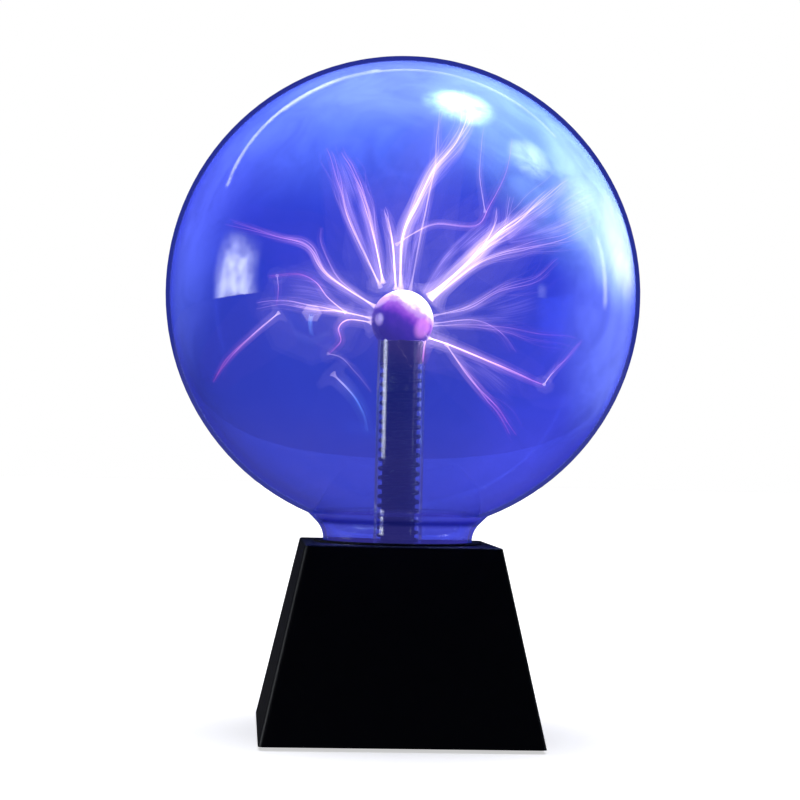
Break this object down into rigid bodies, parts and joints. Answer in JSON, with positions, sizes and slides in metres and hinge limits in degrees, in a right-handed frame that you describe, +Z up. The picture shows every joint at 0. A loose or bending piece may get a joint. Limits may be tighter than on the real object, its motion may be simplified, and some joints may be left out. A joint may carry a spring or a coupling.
{
  "type": "plasma ball",
  "caption": "Glass plasma globe with a glowing centre electrode on a black tapered square base, with a rear rocker switch and supply socket.",
  "frame": {"origin": "on the surface it stands on, under the globe's axis", "axes": "+Z up the globe's axis; -Y is the front face of the base, +Y the rear face with the switch and socket"},
  "size_m": [0.2, 0.2, 0.2855],
  "materials": {
    "soda_lime_glass": "clear blown glass, glossy, seen over blue-glowing gas",
    "stem_glass": "clear drawn glass tube, glossy",
    "electrode_glass": "clear blown glass, glossy, lit violet by the discharge",
    "graphite_coat": "matt conductive graphite coat",
    "dark_tube": "satin dark insulating tube",
    "spring_steel": "drawn spring wire",
    "nickel_plate": "bright nickel plate",
    "silicone_lead": "red silicone insulation",
    "black_abs": "black moulded plastic, fine satin texture",
    "black_cover": "black moulded plastic, spark-eroded texture",
    "black_rubber": "soft black rubber",
    "grey_foam": "grey silicone foam",
    "white_nylon": "natural nylon",
    "zinc_screw": "zinc-plated steel",
    "board_laminate": "glass-epoxy board with green solder mask",
    "ferrite": "pressed dark grey ferrite",
    "black_bobbin": "black moulded former",
    "enamelled_wire": "enamelled copper wire",
    "steel_strap": "bright spring-steel strap",
    "black_anodised": "black anodised aluminium",
    "moulded_epoxy": "moulded black epoxy",
    "silicone_pad": "grey silicone sheet",
    "capacitor_sleeve": "shrunk dark blue sleeve",
    "film_case": "red box case",
    "resistor_coat": "beige lacquer with colour bands",
    "diode_case": "black case with one band",
    "switch_plastic": "glossy black nylon",
    "brass_contact": "stamped brass",
    "microphone_can": "drawn aluminium can",
    "supply_wire": "vinyl-insulated hook-up wire",
    "signal_wire": "thin vinyl-insulated wire",
    "gas_glow": "thin gas with a faint blue glow, no surface of its own",
    "plasma_streamer": "glowing discharge, lilac-white to magenta, soft-edged"
  },
  "bodies": {
    "root": {"globe_glass": "soda_lime_glass", "stem_tube": "stem_glass", "electrode_bulb": "electrode_glass", "electrode_lining": "graphite_coat", "exhaust_tip": "stem_glass", "stem_plug": "white_nylon", "stem_liner": "dark_tube", "contact_spring": "spring_steel", "contact_cap": "nickel_plate", "hv_lead": "silicone_lead", "base_shell": "black_abs", "neck_gasket": "black_rubber", "globe_cradle": "black_cover", "cradle_pad": "grey_foam", "cradle_screws": "zinc_screw", "base_plate": "black_cover", "base_screws": "zinc_screw", "rubber_feet": "black_rubber", "circuit_board": "board_laminate", "board_screws": "zinc_screw", "transformer_core": "ferrite", "transformer_bobbin": "black_bobbin", "secondary_winding": "enamelled_wire", "primary_winding": "enamelled_wire", "transformer_clip": "steel_strap", "heatsink": "black_anodised", "power_transistor": "moulded_epoxy", "insulating_pad": "silicone_pad", "transistor_screw": "zinc_screw", "electrolytic_capacitors": "capacitor_sleeve", "film_capacitor": "film_case", "resistors": "resistor_coat", "diode": "diode_case", "control_chip": "moulded_epoxy", "switch_housing": "switch_plastic", "switch_terminals": "brass_contact", "dc_jack_body": "switch_plastic", "dc_jack_pin": "nickel_plate", "dc_jack_contact": "brass_contact", "dc_jack_nut": "nickel_plate", "microphone_boot": "black_rubber", "microphone_capsule": "microphone_can", "jack_wires": "supply_wire", "switch_wires": "supply_wire", "microphone_wires": "signal_wire"},
    "rocker": {"switch_rocker": "switch_plastic"},
    "contact": {"switch_contact": "brass_contact"}
  },
  "joints": [
    {"name": "rocker_tilt", "type": "hinge", "parent": "root", "child": "rocker", "pos_m": [0.018, 0.05071, 0.02774], "axis": [-1, 0, 0], "range_deg": [0, 24]},
    {"name": "contact_tilt", "type": "hinge", "parent": "root", "child": "contact", "pos_m": [0.018, 0.04431, 0.02634], "axis": [-1, 0, 0], "range_deg": [-12, 0]}
  ],
  "couplings": [
    {"joint": "contact_tilt", "follows": "rocker_tilt", "ratio": -0.5}
  ]
}
